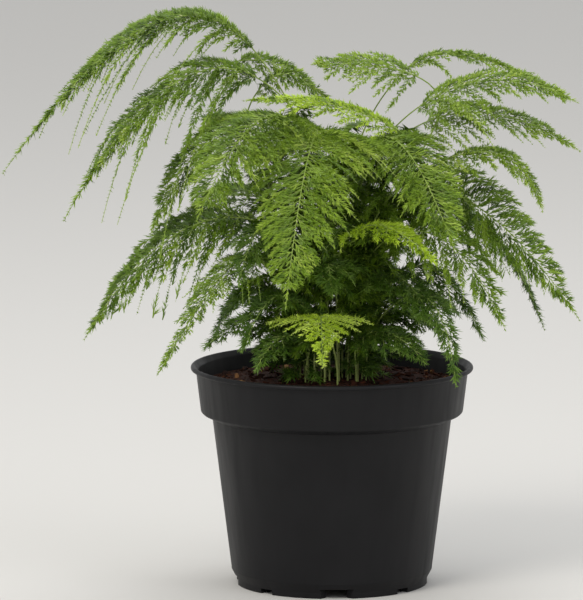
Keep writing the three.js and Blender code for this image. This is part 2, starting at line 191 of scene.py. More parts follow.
def potOutline():
    first, last, steps = pot["lipArc"]
    turns = [math.radians(blendOf(first, last, i / steps)) for i in range(steps + 1)]
    bead = pot["lipBead"]
    centre = (pot["lipRadius"] - bead, pot["height"] - bead)
    lip = [(centre[0] + bead * math.cos(t), centre[1] + bead * math.sin(t)) for t in turns]
    outside = [
        (0, 0),
        (pot["padRadius"], 0),
        (pot["padRadius"] + pot["dishSlope"], pot["floorUnderside"]),
        (pot["ringRadius"], pot["floorUnderside"]),
        (pot["ringRadius"], 0),
        (pot["heelRadius"], 0),
        (pot["heelRadius"], pot["heel"]),
        (pot["bodyFootRadius"], pot["bodyFoot"] - pot["chamfer"]),
        (pot["bodyFootRadius"], pot["bodyFoot"]),
        (pot["bodyTopRadius"], pot["bodyTop"]),
        (pot["collarFootRadius"] - pot["chamfer"], pot["collarFoot"]),
        (pot["collarFootRadius"], pot["collarFoot"] + pot["chamfer"]),
        (pot["collarTop"], pot["height"] - 2 * bead),
    ]
    return outside + lip + potInside()[::-1]


def spunMesh(outline, sides):
    bm = bmesh.new()
    points = [bm.verts.new((radius, 0, height)) for radius, height in outline]
    edges = [bm.edges.new((a, b)) for a, b in zip(points, points[1:])]
    turn = {"cent": (0, 0, 0), "axis": (0, 0, 1), "angle": 2 * math.pi, "steps": sides}
    bmesh.ops.spin(bm, geom=points + edges, use_merge=True, **turn)
    bmesh.ops.remove_doubles(bm, verts=bm.verts, dist=1e-4)
    bmesh.ops.recalc_face_normals(bm, faces=bm.faces)
    return bm


def notchCutter(bm, turn, outerWidth, innerWidth, height):
    margin = pot["cutMargin"]
    outer, inner = -pot["bodyFootRadius"] - margin, -pot["ringRadius"] + margin
    plan = ((-outerWidth, outer), (outerWidth, outer), (innerWidth, inner), (-innerWidth, inner))
    corners = [bm.verts.new((width / 2, y, -margin)) for width, y in plan]
    base = bm.faces.new(corners)
    raised = bmesh.ops.extrude_face_region(bm, geom=[base])["geom"]
    top = [v for v in raised if isinstance(v, bmesh.types.BMVert)]
    bmesh.ops.translate(bm, vec=(0, 0, height + margin), verts=top)
    bmesh.ops.rotate(bm, matrix=Matrix.Rotation(math.radians(turn), 3, "Z"), verts=corners + top)


def cutAway(piece, bm, name):
    bmesh.ops.recalc_face_normals(bm, faces=bm.faces)
    cutter = finishPiece(bm, name, piece.data.materials[0], None)
    cut = piece.modifiers.new(name, "BOOLEAN")
    cut.object = cutter
    cut.solver = "EXACT"
    finished = piece.evaluated_get(bpy.context.evaluated_depsgraph_get())
    shaped = bpy.data.meshes.new_from_object(finished)
    piece.modifiers.clear()
    piece.data = shaped
    bpy.data.objects.remove(cutter)


def potPlastic():
    material, tree, shader = newMaterial("blackPotPlastic", 0.42, 0.2)
    place = addNode(tree, "TexCoord").outputs["Object"]
    cloud = addNoise(tree, place, 26, 3)
    grain = addNoise(tree, place, 1500, 2)
    flow = addNoise(tree, stretched(tree, place, (150, 150, 9)), 1, 3)
    colour = addRamp(tree, cloud, [(0.3, "#101012"), (0.7, "#161618")])
    tree.links.new(colour, shader.inputs["Base Color"])
    worn = multiplyAdd(tree, flow, 0.35, 0.25)
    tree.links.new(multiplyAdd(tree, cloud, 0.12, worn), shader.inputs["Roughness"])
    addBump(tree, shader, grain, 0.25, 0.00005)
    return material


def makePot():
    bm = spunMesh(potOutline(), pot["sides"])
    bend = math.radians(pot["roundOver"])
    rings = [e for e in bm.edges if len(e.link_faces) == 2 and e.calc_face_angle() > bend]
    cut = {"offset": pot["edgeRound"], "segments": 2, "profile": 0.5, "material": -1}
    bmesh.ops.bevel(bm, geom=rings, affect="EDGES", offset_type="OFFSET", clamp_overlap=True, **cut)
    piece = finishPiece(bm, "nurseryPot", potPlastic(), "pot")
    cutter = bmesh.new()
    for count, firstAt, outerWidth, innerWidth, height in pot["notches"]:
        for i in range(count):
            notchCutter(cutter, firstAt + i * 360 / count, outerWidth, innerWidth, height)
    cutAway(piece, cutter, "notches")
    cutter = bmesh.new()
    count, firstAt, away, radius = pot["drainHoles"]
    for i in range(count):
        turn = math.radians(firstAt + i * 360 / count)
        place = Matrix.Translation((away * math.cos(turn), away * math.sin(turn), pot["floorUnderside"]))
        bmesh.ops.create_cone(
            cutter, cap_ends=True, radius1=radius, radius2=radius, matrix=place, **pot["drainCutter"]
        )
    cutAway(piece, cutter, "drainHoles")
    piece.data.shade_smooth()
    piece.data.set_sharp_from_angle(angle=math.radians(pot["smoothUnder"]))


makePot()
print("pot made")


# Potting mix

mix = {
    "edge": 121.5, "crown": 125.5, "domeRadius": 79,  # heights at the wall and in the middle
    "clearance": 0.35,
    "sides": 96, "rings": 34,
    "lump": 1.5,  # how far the surface rises and falls
    "coarse": (11, 3, 0.75),  # length of the lumps, their layer of noise and their share
    "fine": (3.1, 40, 0.4),
    "settled": 0.3,
    "smoothUnder": 40,
    "chips": 1000,
    "chipShapes": 8,
    "chipBevel": 0.16,
    "chipUneven": (0.82, 1.12),
    "chipWarp": 0.12,
    "chipMelt": 0.09,  # corners nearer than this become one
    "chipInset": 4,  # they lie at least this far from the edge
    "chipLength": (1.4, 6.4),
    "chipsFiner": 2.2,  # the higher, the more of them are short
    "chipWidth": (0.25, 0.7),  # shares of the length
    "chipThickness": (0.12, 0.3),
    "chipLean": 0.35,
    "chipLift": 0.25,  # share of its thickness that its middle lies above the surface
    "chipPale": 0.03,  # share of the chips that are much paler
    "seed": 7,
}


def mixHeight(x, y):
    away = math.hypot(x, y) / mix["domeRadius"]
    base = blendOf(mix["crown"], mix["edge"], min(1, away) ** 2)
    lumps = [
        share * noise.noise(Vector((x, y, layer)) / length)
        for length, layer, share in (mix["coarse"], mix["fine"])
    ]
    return base + mix["lump"] * (sum(lumps) - mix["settled"])


def chipShape(draw, name):
    bm = bmesh.new()
    bmesh.ops.create_cube(bm, size=1)
    cut = {"offset": mix["chipBevel"], "segments": 1, "profile": 0.5, "material": -1}
    bmesh.ops.bevel(bm, geom=bm.edges[:], affect="EDGES", offset_type="OFFSET", **cut)
    for v in bm.verts:
        v.co *= draw.uniform(*mix["chipUneven"])
        v.co.z += mix["chipWarp"] * draw.uniform(-1, 1)
    bmesh.ops.triangulate(bm, faces=bm.faces)
    bmesh.ops.remove_doubles(bm, verts=bm.verts, dist=mix["chipMelt"])
    bm.verts.layers.float.new("tone")
    mesh = bpy.data.meshes.new(name)
    bm.to_mesh(mesh)
    bm.free()
    return mesh


def restOf(mesh):
    rest = np.empty(len(mesh.vertices) * 3, np.float32)
    mesh.vertices.foreach_get("co", rest)
    return rest


def mixMaterial():
    material, tree, shader = newMaterial("barkAndPeat", 0.9, 0.25)
    place = addNode(tree, "TexCoord").outputs["Object"]
    tone = addNode(tree, "Attribute", attribute_name="tone").outputs["Fac"]
    crumbs = addNoise(tree, place, 420, 5, 0.65)
    peat = addRamp(tree, crumbs, [(0.3, "#120805"), (0.5, "#35190e"), (0.72, "#542b1a")])
    barks = [(0, "#1a0b06"), (0.45, "#3a1a0e"), (0.8, "#5a2f1b"), (0.93, "#8f633d"), (1, "#b98f60")]
    bark = addRamp(tree, tone, barks)
    isChip = mapRange(tree, tone, 0.001, 0.01)
    fibres = addNoise(tree, stretched(tree, place, (1, 1, 3.5)), 600, 4)
    bark = lit(tree, bark, mapRange(tree, fibres, 0.3, 0.7, 0.55, 1.15))
    tree.links.new(mixColours(tree, isChip, peat, bark), shader.inputs["Base Color"])
    addBump(tree, shader, addNoise(tree, place, 700, 5, 0.7), 0.7, 0.0006)
    return material


def makeMix():
    draw = random.Random(mix["seed"])
    gap = mix["clearance"]
    floorTop = pot["floorUnderside"] + pot["floorThickness"]
    wall = [(r - gap if r else 0, z if z > floorTop else z + gap) for r, z in potInside() if z < mix["edge"]]
    share = (mix["edge"] - pot["collarFoot"]) / (pot["height"] - pot["collarFoot"])
    edgeRadius = blendOf(pot["collarFootRadius"], pot["collarTop"], share) - pot["wall"] - gap
    top = [(edgeRadius * (1 - i / mix["rings"]), mix["edge"]) for i in range(mix["rings"] + 1)]
    bm = spunMesh(wall + top, mix["sides"])
    topmost = [v for v in bm.verts if v.co.z > mix["edge"] - 0.01 and v.co.xy.length < edgeRadius - 0.1]
    for v in topmost:
        v.co.z = mixHeight(v.co.x, v.co.y)
    bm.verts.layers.float.new("tone")
    shapes = [chipShape(draw, f"chip{i}") for i in range(mix["chipShapes"])]
    rests = [restOf(mesh) for mesh in shapes]
    for _ in range(mix["chips"]):
        away = (edgeRadius - mix["chipInset"]) * math.sqrt(draw.random())
        turn = draw.uniform(0, 2 * math.pi)
        x, y = away * math.cos(turn), away * math.sin(turn)
        length = blendOf(*mix["chipLength"], draw.random() ** mix["chipsFiner"])
        width = length * draw.uniform(*mix["chipWidth"])
        thick = length * draw.uniform(*mix["chipThickness"])
        lean = Matrix.Rotation(draw.gauss(0, mix["chipLean"]), 4, "X")
        lean = lean @ Matrix.Rotation(draw.gauss(0, mix["chipLean"]), 4, "Y")
        place = Matrix.Translation((x, y, mixHeight(x, y) + mix["chipLift"] * thick))
        place = place @ Matrix.Rotation(draw.uniform(0, math.pi), 4, "Z") @ lean
        place = place @ Matrix.Diagonal((length, width, thick, 1))
        which = draw.randrange(len(shapes))
        mesh = shapes[which]
        mesh.vertices.foreach_set("co", rests[which])
        mesh.transform(place)
        isPale = draw.random() >= 1 - mix["chipPale"]
        tone = draw.uniform(0.9, 1) if isPale else 0.05 + 0.8 * draw.random()
        mesh.attributes["tone"].data.foreach_set("value", [tone] * len(mesh.vertices))
        bm.from_mesh(mesh)
    for mesh in shapes:
        bpy.data.meshes.remove(mesh)
    finishPiece(bm, "pottingMix", mixMaterial(), "potting_mix", mix["smoothUnder"])


makeMix()
print("potting mix made")


# Fronds: the same arches as the solids. Each cane leaves the crown and reaches fork, where the spray
# begins; the rib is an arch from fork to tip, pulled towards pull; fingers are shares of span.

# A frond with the tone shade takes the darker needle colours, painted shade for the fronds low, inside and
# at the back
fronds = [
    # upper left
    {"fork": (-46, 5, 322), "pull": (-99, 0, 390), "tip": (-197, -20, 252), "span": 56, "tilt": 16},
    {"fork": (-42, -15, 307), "pull": (-94, -34, 343), "tip": (-160, -50, 227), "span": 58, "tilt": 24},
    {"fork": (-60, 24, 314), "pull": (-30, 28, 321), "tip": (-1, 20, 290), "span": 28, "tilt": 20},
    # upper right
    {"fork": (53, 9, 306), "pull": (33, 4, 317), "tip": (-13, -8, 316), "span": 42, "tilt": 30},
    {"fork": (44, 25, 309), "pull": (72, 32, 337), "tip": (141, 20, 292), "span": 32, "tilt": 4},
    {"fork": (50, -15, 290), "pull": (95, -28, 325), "tip": (147, -30, 295), "span": 48, "tilt": 24},
    {"fork": (54, -5, 280), "pull": (95, -10, 300), "tip": (149, -12, 264), "span": 40, "tilt": 24},
    {"fork": (60, -27, 258), "pull": (112, -42, 284), "tip": (125, -50, 232), "span": 40, "tilt": 16},
    # upper middle
    {"fork": (-45, 15, 297), "pull": (-26, 12, 323), "tip": (-5, 4, 290), "span": 24, "tilt": 20},
    {"fork": (42, -28, 277), "pull": (5, -30, 302), "tip": (-53, -34, 297), "span": 40, "tone": "young"},
    # centre, towards the viewer
    {"fork": (-14, -17, 272), "pull": (-42, -60, 322), "tip": (-80, -120, 236), "span": 58, "droop": 0.28},
    {"fork": (0, -20, 264), "pull": (-12, -78, 324), "tip": (-28, -135, 186), "span": 60, "droop": 0.25},
    {"fork": (16, -12, 260), "pull": (38, -50, 308), "tip": (72, -98, 214), "span": 51, "droop": 0.28},
    {"fork": (-42, 0, 270), "pull": (-74, -10, 298), "tip": (-109, -30, 216), "span": 42, "tilt": 30},
    # left flank
    {"fork": (-52, -15, 224), "pull": (-102, -30, 233), "tip": (-148, -45, 155), "span": 46, "tilt": 36},
    {"fork": (-46, -28, 202), "pull": (-60, -58, 215), "tip": (-104, -90, 140), "span": 28},
    {"fork": (-56, 22, 214), "pull": (-94, 42, 228), "tip": (-127, 50, 180), "span": 34, "tone": "shade"},
    {"fork": (-28, -5, 158), "pull": (-54, -16, 172), "tip": (-77, -28, 146), "span": 28, "tone": "shade"},
    {"fork": (-30, -10, 214), "pull": (-46, -32, 236), "tip": (-56, -68, 190), "span": 32, "tone": "shade"},
    # right flank
    {"fork": (38, -4, 235), "pull": (84, -28, 262), "tip": (147, -55, 168), "span": 56, "tilt": 38},
    {"fork": (32, -25, 212), "pull": (70, -55, 240), "tip": (102, -85, 166), "span": 48, "tilt": 34},
    {"fork": (41, 20, 224), "pull": (95, 36, 246), "tip": (130, 45, 147), "span": 44, "tone": "shade"},
    {"fork": (12, -45, 220), "pull": (32, -78, 238), "tip": (61, -100, 207), "span": 32, "tone": "young"},
    {"fork": (41, -25, 176), "pull": (66, -52, 196), "tip": (73, -78, 132), "span": 20, "tone": "shade"},
    {"fork": (38, 0, 188), "pull": (66, -4, 208), "tip": (91, -15, 150), "span": 28, "tone": "shade"},
    # low, round the crown
    {"fork": (-18, -20, 172), "pull": (-36, -36, 196), "tip": (-54, -58, 150), "span": 34, "tone": "shade"},
    {"fork": (22, -10, 184), "pull": (42, -34, 208), "tip": (64, -60, 158), "span": 34, "tone": "shade"},
    {"fork": (-2, -18, 192), "pull": (-4, -42, 214), "tip": (0, -66, 184), "span": 36, "tone": "shade"},
    {"fork": (-34, 6, 176), "pull": (-56, 8, 196), "tip": (-72, 4, 146), "span": 30, "tone": "shade"},
    {"fork": (-7, -38, 167), "pull": (-7, -62, 178), "tip": (-6, -88, 144), "span": 40,
     "droop": 0.1, "tone": "young"},
    {"fork": (-15, -22, 150), "pull": (-32, -38, 166), "tip": (-46, -58, 138), "span": 26, "tone": "shade"},
    {"fork": (16, -20, 152), "pull": (34, -36, 168), "tip": (56, -54, 141), "span": 30, "tone": "shade"},
    {"fork": (26, 8, 156), "pull": (50, 14, 172), "tip": (72, 14, 146), "span": 26, "tone": "shade"},
    # back
    {"fork": (-30, 30, 222), "pull": (-62, 74, 256), "tip": (-88, 112, 196), "span": 44, "tilt": -14},
    {"fork": (8, 30, 232), "pull": (4, 84, 272), "tip": (-6, 132, 200), "span": 48},
    {"fork": (34, 30, 222), "pull": (66, 70, 256), "tip": (98, 106, 190), "span": 44, "tilt": -14},
    {"fork": (-24, 22, 164), "pull": (-48, 52, 186), "tip": (-66, 80, 148), "span": 30, "tone": "shade"},
    {"fork": (4, 26, 170), "pull": (8, 62, 194), "tip": (12, 100, 152), "span": 30, "tone": "shade"},
    {"fork": (24, 24, 164), "pull": (52, 54, 186), "tip": (80, 78, 150), "span": 30, "tone": "shade"},
]

cane = {
    "standing": 127.5,  # height up to which it stands straight
    "buried": 113.5,  # height of its root, in the mix
    "lift": 0.55, "lean": 0.28,
    "footRadius": 0.6, "forkRadius": 0.45, "tipRadius": 0.13,
    "sides": 6, "step": 5, "climbPoints": 40, "archPoints": 60,
    "scaleGap": (11, 24),  # between the small pale scale leaves along it
    "scaleSize": (2, 0.4),  # length and radius
    "scaleSizes": (0.7, 1.2), "scalesAt": (0.06, 0.85), "scaleLean": 0.8,
}

# How most fronds carry their fingers along the rib, and their twigs along a finger
lace = {
    "tilt": 12,
    "droop": 0.36,
    "firstAt": 0.015,
    "lastAt": 0.92,
    "fingerGap": 4.7,
    "fingerRadii": (0.27, 0.1),  # at its root and its tip
    "angles": (66, 38),  # between finger and rib, at fork and tip
    "curl": 0.4,  # share of its angle that a finger gives up along its length
    "sag": 0.1,
    "firstReach": 0.7,
    "taper": 0.8,
    "reach": (0.62, 0.98),
    "leaders": 0.18,  # share of the fingers that reach past the others
    "leaderReach": (1, 1.3),
    "tail": (0.04, 0.35),  # share of a leader that ends as a thin tail
    "missing": 0.03,
    "least": 4,  # length of the shortest finger
    "step": 7.5,  # between the places along a finger
    "clear": 2,  # how far it keeps above pot, mix and floor
    "lipRoom": (1, 1.5),  # this near the lip, inside and outside, it keeps above the lip
    "swell": 2.4,  # how fast the first fingers reach the full span
    "angleSpread": 4, "sagSpread": (0.2, 2.2), "toneSpread": 0.13,
    "twigsGrow": (2.2, 0.16),  # longest twig of a short finger, and what each millimetre adds
    "tone": 0.34,
    "twigGap": 1.44,
    "twigMost": 5.2,
    "twigAngle": 24,
    "twigLengths": (1.6, 2.8, 4, 5.4),
    "ribTwigs": (2.4, 48, 2.6),  # gap, angle and length of the twigs that cover the rib
    "ribEnd": 0.1,  # its end starts this far before the last fingers
    "ribEndMost": (4, 0.25),  # longest twig there, and at most this share of the span
    "ribEndTail": 0.3, "ribEndPaler": 0.15,
    "ribStep": 5, "ribSteps": 8,  # at least so many
    "jitter": 0.2, "furthest": 0.98,
    "plainTail": 0.4,  # how far into that range of tails the other fingers go
    "thinning": 0.8,  # how a finger thins: under 1, more at its root
    "needleGap": 1.6,
    "needle": (4.4, 0.54, 0.22),  # length, width and thickness
    "needleTurn": (8, 30),
}

# What other kinds of growth do otherwise
flat = {
    "angles": (78, 50), "fingerGap": 3.2, "curl": 0.14, "sag": 0.05, "taper": 0.6,
    "reach": (0.78, 1), "leaders": 0.08, "leaderReach": (1, 1.15),
    "twigGap": 1.8, "twigMost": 5, "twigAngle": 20, "twigLengths": (1.6, 3, 4.4),
    "needle": (4.4, 0.5, 0.2), "needleTurn": (4, 24),
}
bushy = {
    "fingerGap": 5,
    "twigGap": 1.9, "twigMost": 5.4, "twigAngle": 30, "twigLengths": (1.8, 3.6, 5.4),
    "needleGap": 2.2, "needle": (6, 0.62, 0.26), "needleTurn": (12, 38),
}
kinds = {
    "lace": {},
    "plume": {
        "angles": (52, 28), "fingerGap": 4.2, "fingerRadii": (0.3, 0.2), "lastAt": 0.83, "sag": 0.2,
        "reach": (0.5, 0.86), "leaders": 0.2, "leaderReach": (1.3, 2.05), "tail": (0.1, 0.78),
    },
    "flat": flat,
    "toothed": {
        "angles": (54, 26), "fingerGap": 4.2, "curl": 0.2, "sag": 0.05, "firstReach": 0.8,
        "reach": (0.6, 1), "leaders": 0.25, "leaderReach": (1.05, 1.5),
        "twigGap": 1.35, "twigMost": 4.2, "twigAngle": 34, "twigLengths": (1.2, 2.4, 3.6),
        "needleGap": 1.4, "needle": (3.2, 0.48, 0.2), "needleTurn": (12, 40),
    },
    "bushy": bushy,
    "thicket": {**bushy, "fingerGap": 5.4, "twigGap": 2.4, "needle": (6.8, 0.86, 0.28)},
    "short": {
        "angles": (84, 36), "fingerGap": 3.2, "curl": 0.12, "sag": 0.05, "firstReach": 1, "taper": 1.3,
        "reach": (0.8, 1), "leaders": 0.1, "leaderReach": (0.95, 1.12), "least": 2,
        "twigGap": 1, "twigMost": 3, "twigAngle": 40, "twigLengths": (1.2, 2, 3),
        "needleGap": 1.3, "needle": (2.6, 0.42, 0.2), "needleTurn": (12, 38),
    },
    "swept": {**flat, "taper": 0.8, "twigGap": 1.5},
    "hanging": {"reach": (0.78, 1.1), "leaders": 0.24, "sag": 0.28, "twigGap": 1.4},
    "spread": {**bushy, "reach": (0.85, 1.2)},
}
habits = {name: {**lace, **kind} for name, kind in kinds.items()}

# The fronds of each kind. Of the others, those with a low fork are bushy, and the rest are lace.
grownAs = {
    "plume": (1, 2),
    "toothed": (4, 5, 6, 7, 8, 10, 16),
    "flat": (11, 12, 13),
    "hanging": (15,),
    "swept": (20,),
    "spread": (24, 31, 32, 33),
    "short": (30,),
}
habitOf = {number: kind for kind, numbers in grownAs.items() for number in numbers}
bushyUnder = 195

# Small sprays that leave a cane below its fork or just past it, by the height of the fork
shoots = [
    {"forkOver": 285, "from": 0.4, "to": 0.82, "gap": 11, "length": (20, 38)},
    {"forkOver": 255, "from": 0.36, "to": 0.97, "gap": 7.5, "length": (24, 44)},
    {"forkOver": 195, "from": 0.34, "to": 1.06, "gap": 8.5, "length": (22, 40)},
    {"forkOver": 0, "from": 0.18, "to": 0.95, "gap": 6.5, "length": (18, 34)},
]
shootHabit = {
    "swing": (25, 125), "rise": (10, 45), "pull": 0.55, "droop": 0.35, "droopSpread": (0.2, 1.3),
    "shorterInFront": 0.4, "gapSpread": (0.7, 1.3), "clear": 3, "points": 16, "leastPoints": 8,
    "radii": (0.3, 0.12), "sides": 4, "step": 4,
    "span": 0.42, "forkAt": 0.12, "sprayDroop": 0.3, "tilt": 0.25,
}
# Shoots sit inside the plant, and their tones lie lower on the ramps than the main sprays', painted shade;
# most of all on the young fronds
shootShadeTone = {"mature": 0.2, "shade": 0.2, "young": -0.12}

# Painted light and shade: some fronds are painted paler than the others of their tone where light falls
# strongly on them, the upper-right ones and the short young one in front, and some darker
paintedLightAndShade = {
    1: -0.06, 2: -0.06, 4: 0.12, 5: 0.12, 6: 0.14, 7: 0.12, 8: 0.1, 11: 0.04, 12: 0.08, 13: 0.03,
    14: -0.05, 15: -0.08, 20: -0.05, 21: -0.06, 23: 0.06, 30: 0.26,
}

# Room that the other fronds leave: a wedge above and in front of the short young one, which slopes
# forward and down and is widest at its top, and the foot of the front canes, whose bare stems show
youngInFront = 30
clearings = [
    {"middle": -7, "back": -40, "slope": 0.144, "foot": 131, "top": 165, "halves": (5, 42)},
    {"middle": 3, "back": -18, "slope": 0.144, "foot": 118, "top": 148, "halves": (11, 8)},
]

# A part's colours lie along its map: scales, stems and needles in three bands, from root to tip.
# Needles are darker at the left and paler at the right; canes and fingers run from left to right.
scaleBand = (0.03, 0.06)
stemBand = (0.1, 0.22)
needleBand = (0.3, 0.97)
toneWidth = 0.04  # the width that one needle takes on the map
stemTones = {"cane": (0.0, 0.9), "shoot": (0.6, 0.9), "finger": (0.75, 0.95)}
frondSeed = 100


def keepShape(bm, name):
    mesh = bpy.data.meshes.new(name)
    bm.to_mesh(mesh)
    bm.free()
    tones = np.empty(len(mesh.loops) * 2, np.float32)
    mesh.uv_layers[0].uv.foreach_get("vector", tones)
    return mesh, restOf(mesh), tones


# Adds a copy of a small shape, with its map moved along to its tone
def stamp(bm, shape, place, tone=0):
    mesh, rest, tones = shape
    mesh.vertices.foreach_set("co", rest)
    mesh.transform(place)
    moved = tones.copy()
    moved[::2] += tone
    mesh.uv_layers[0].uv.foreach_set("vector", moved)
    bm.from_mesh(mesh)


# A three-sided needle of length and radius 1, along +X
def needleShape(band, name):
    bm = bmesh.new()
    along = Matrix.Translation((0.5, 0, 0)) @ Matrix.Rotation(math.pi / 2, 4, "Y")
    bmesh.ops.create_cone(bm, cap_ends=True, segments=3, radius1=1, radius2=0, depth=1, matrix=along)
    layer = bm.loops.layers.uv.new("OFBake")
    for face in bm.faces:
        isRoot = all(v.co.x < 0.5 for v in face.verts)
        for side, loop in enumerate(face.loops):
            low = band[0] - (0.02 if isRoot and side == 1 else 0)
            loop[layer].uv = (toneWidth * side / 3, low if loop.vert.co.x < 0.5 else band[1])
    return keepShape(bm, name)


# The place and turn of a shape whose +X runs along heading and whose +Z leans towards above
def facing(heading, above, place, size):
    ahead = heading.normalized()
    aside = above.cross(ahead).normalized()
    turn = Matrix((ahead, aside, ahead.cross(aside))).transposed().to_4x4()
    return Matrix.Translation(place) @ turn @ Matrix.Diagonal((*size, 1))


needle = needleShape(needleBand, "needle")
stalk = needleShape(stemBand, "stalk")
scaleLeaf = needleShape(scaleBand, "scaleLeaf")


twigForm = {
    "shapes": 3,  # for each length
    "tuftUnder": 2,  # a shorter twig has all its needles at its root
    "stalkRadius": 0.17,
    "needlesAt": (0.04, 0.94),
    "lastNeedle": 0.6,  # share of the first one's length
    "needleSizes": (0.75, 1.15),
    "needleRise": (8, 30),  # degrees out of the flat, the usual one and its spread
    "shift": 0.4,
    "endAt": 0.9, "endNeedle": 0.7,
    "seed": 11,
}


# A flat twig along +X with its needles in pairs, a few of them above or below. The shortest are tufts.
def twigShape(draw, length, habit, name):
    bm = bmesh.new()
    bm.loops.layers.uv.new("OFBake")
    longest, *broad = habit["needle"]
    isTuft = length < twigForm["tuftUnder"]
    if not isTuft:
        thin = twigForm["stalkRadius"]
        stamp(bm, stalk, facing(Vector((1, 0, 0)), up, Vector(), (length, thin, thin)))
    count = max(2, round(length / habit["needleGap"]))
    for i in range(count):
        along = 0 if isTuft else blendOf(*twigForm["needlesAt"], (i + 0.5) / count) * length
        size = longest * blendOf(1, twigForm["lastNeedle"], i / count)
        for hand in (-1, 1):
            turn = math.radians(draw.uniform(*habit["needleTurn"])) * hand
            rise = math.radians(draw.gauss(*twigForm["needleRise"]))
            heading = Vector((math.cos(turn), math.sin(turn) * math.cos(rise), math.sin(rise)))
            shift = draw.uniform(-twigForm["shift"], twigForm["shift"])
            start = Vector((max(0, along + shift), 0, 0))
            sizes = (size * draw.uniform(*twigForm["needleSizes"]), *broad)
            stamp(bm, needle, facing(heading, up, start, sizes), draw.uniform(0, toneWidth))
    tip = (longest * (1 if isTuft else twigForm["endNeedle"]), *broad)
    start = Vector((0 if isTuft else length * twigForm["endAt"], 0, 0))
    stamp(bm, needle, facing(Vector((1, 0, 0.1)), up, start, tip))
    return keepShape(bm, name)


def twigSet(draw, habit, name):
    shapes = range(twigForm["shapes"])
    return [
        [twigShape(draw, length, habit, f"{name}Twig{n}") for n in shapes] for length in habit["twigLengths"]
    ]


twigDraw = random.Random(twigForm["seed"])
twigs = {name: twigSet(twigDraw, habit, name) for name, habit in habits.items()}


# A closed tube through places, drawn out ring by ring
def tube(bm, places, radii, sides, above, tones):
    part = bmesh.new()
    partLayer = part.loops.layers.uv.new("OFBake")
    bmesh.ops.create_circle(part, cap_ends=True, segments=sides, radius=1)
    ring, edges = part.verts[:], part.edges[:]
    ringOf = dict.fromkeys(ring, 0)
    last = Matrix()
    for i, (place, radius) in enumerate(zip(places, radii)):
        ahead = (places[min(i + 1, len(places) - 1)] - places[max(i - 1, 0)]).normalized()
        aside = above.cross(ahead).normalized()
        turn = Matrix((aside, ahead.cross(aside), ahead)).transposed().to_4x4()
        here = Matrix.Translation(place) @ turn @ Matrix.Scale(radius, 4)
        if i:
            drawn = bmesh.ops.extrude_edge_only(part, edges=edges)["geom"]
            ring = [g for g in drawn if isinstance(g, bmesh.types.BMVert)]
            edges = [g for g in drawn if isinstance(g, bmesh.types.BMEdge)]
            ringOf.update(dict.fromkeys(ring, i))
        bmesh.ops.transform(part, matrix=here @ last.inverted(), verts=ring)
        last = here
    bmesh.ops.contextual_create(part, geom=edges)
    bmesh.ops.recalc_face_normals(part, faces=part.faces)
    for face in part.faces:
        for side, loop in enumerate(face.loops):
            share = ringOf[loop.vert] / (len(places) - 1)
            tone = blendOf(*tones, share) + toneWidth * side / sides
            band = blendOf(*stemBand, (side % 2 + share) / 2)
            loop[partLayer].uv = (tone, band)
    mesh = bpy.data.meshes.new("tube")
    part.to_mesh(mesh)
    part.free()
    bm.from_mesh(mesh)
    bpy.data.meshes.remove(mesh)


# A smooth line that can be read at any distance along it
class Route:
    def __init__(self, points):
        self.points = [points[0]]
        self.at = [0.0]
        for point in points[1:]:
            step = (point - self.points[-1]).length
            if step > 1e-6:
                self.points.append(point)
                self.at.append(self.at[-1] + step)
        self.total = self.at[-1]

    def read(self, along):
        i = min(max(bisect_right(self.at, along) - 1, 0), len(self.at) - 2)
        a, b = self.points[i], self.points[i + 1]
        return a.lerp(b, (along - self.at[i]) / (self.at[i + 1] - self.at[i])), (b - a).normalized()


def footOf(nodeName):
    low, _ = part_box(nodeName)
    feet = [v.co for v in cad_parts[nodeName].data.vertices if v.co.z < low.z + 1e-4]
    x, y = [(min(c[k] for c in feet) + max(c[k] for c in feet)) / 2 / mm for k in (0, 1)]
    return x, y


# An arch from start to end, pulled towards pull
def archOf(start, pull, end, count):
    return geometry.interpolate_bezier(start, start.lerp(pull, 2 / 3), end.lerp(pull, 2 / 3), end, count)


def frondRoute(frond, foot):
    fork, pull, tip = [Vector(frond[key]) for key in ("fork", "pull", "tip")]
    rise = (fork - foot).length
    heading = (pull - fork).normalized()
    lift = foot + up * rise * cane["lift"]
    lean = fork - heading * rise * cane["lean"]
    root = Vector((foot.x, foot.y, cane["buried"]))
    climb = [root, *geometry.interpolate_bezier(foot, lift, lean, fork, cane["climbPoints"])]
    arch = archOf(fork, pull, tip, cane["archPoints"])
    return Route([*climb, *arch]), Route(climb).total


def groundAt(place):
    away = math.hypot(place.x, place.y)
    inside, outside = lace["lipRoom"]
    if away < pot["collarTop"] - pot["wall"] - inside:
        return mix["crown"]
    return pot["height"] if away < pot["lipRadius"] + outside else 0


def inClearing(place):
    for room in clearings:
        share = (place.z + place.y * room["slope"] - room["foot"]) / (room["top"] - room["foot"])
        isAcross = abs(place.x - room["middle"]) < blendOf(*room["halves"], share)
        if place.y < room["back"] and 0 < share < 1 and isAcross:
            return True
    return False


# The middle line of one finger: it leaves the rib, curls forward and hangs
def fingerPlaces(route, spray, start, angle, hand, length, sag):
    steps = max(2, round(length / lace["step"]))
    ahead = aside = 0
    places = []
    for i in range(steps + 1):
        share = i / steps
        base, heading = route.read(min(start + ahead, route.total))
        place = base + heading * max(0, start + ahead - route.total) + spray["side"] * hand * aside
        place.z -= spray["droop"] * aside * aside / spray["span"] + sag * length * share**3
        if place.z < groundAt(place) + lace["clear"] or (spray["keepsClear"] and inClearing(place)):
            break
        places.append(place)
        turn = angle * (1 - habits[spray["kind"]]["curl"] * (share + 0.5 / steps))
        ahead += length / steps * math.cos(turn)
        aside += length / steps * math.sin(turn)
    return places


